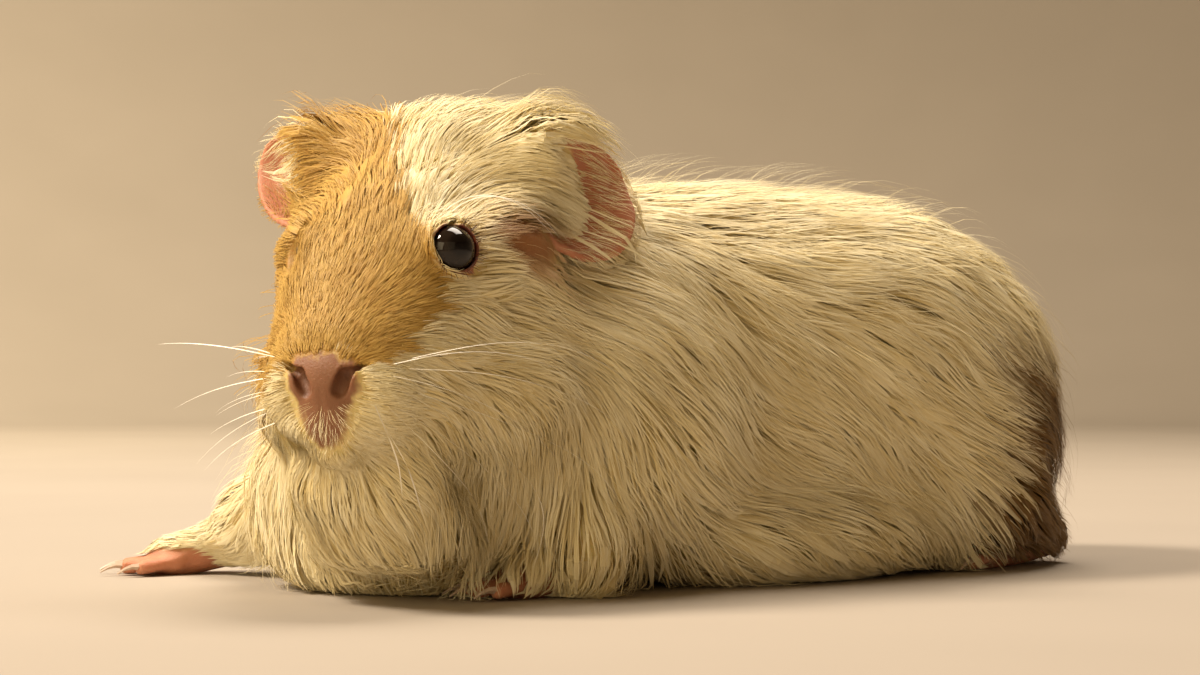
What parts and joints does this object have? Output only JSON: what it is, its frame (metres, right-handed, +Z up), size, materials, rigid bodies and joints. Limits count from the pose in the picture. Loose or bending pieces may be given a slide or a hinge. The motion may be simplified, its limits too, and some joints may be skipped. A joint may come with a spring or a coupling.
{
  "type": "guinea pig figure",
  "caption": "Life-size still guinea pig at rest on its belly, head raised and turned to one side, one foreleg stretched out, for display or set dressing.",
  "frame": {"origin": "on the floor, in the flat under the belly that the animal rests on", "axes": "+Z up, the nose end towards -Y, the animal's left side towards +X"},
  "size_m": [0.1177, 0.2055, 0.094],
  "materials": {
    "fur_white": "soft cream-white coat, outer form to the tips of the hair",
    "fur_cream": "cream coat with a ginger blaze, outer form to the tips of the hair",
    "fur_brown": "dark brown coat, outer form to the tips of the hair",
    "bare_skin": "soft pink skin with very short down",
    "eye_surface": "wet glossy black",
    "claw_horn": "translucent pale horn"
  },
  "bodies": {
    "root": {"ear_left": "bare_skin", "ear_right": "bare_skin", "eye_left": "eye_surface", "eye_right": "eye_surface", "foreclaw_left_1": "claw_horn", "foreclaw_left_2": "claw_horn", "foreclaw_left_3": "claw_horn", "foreclaw_left_4": "claw_horn", "foreclaw_right_1": "claw_horn", "foreclaw_right_2": "claw_horn", "foreclaw_right_3": "claw_horn", "foreclaw_right_4": "claw_horn", "forefoot_left": "bare_skin", "forefoot_right": "bare_skin", "foreleg_left": "fur_white", "foreleg_right": "fur_white", "head": "fur_cream", "hindclaw_left_1": "claw_horn", "hindclaw_left_2": "claw_horn", "hindclaw_left_3": "claw_horn", "hindclaw_right_1": "claw_horn", "hindclaw_right_2": "claw_horn", "hindclaw_right_3": "claw_horn", "hindfoot_left": "bare_skin", "hindfoot_right": "bare_skin", "hindleg_left": "fur_white", "hindleg_right": "fur_white", "lips": "bare_skin", "neck": "fur_white", "nose": "bare_skin", "rump": "fur_brown", "trunk": "fur_white"}
  },
  "joints": []
}
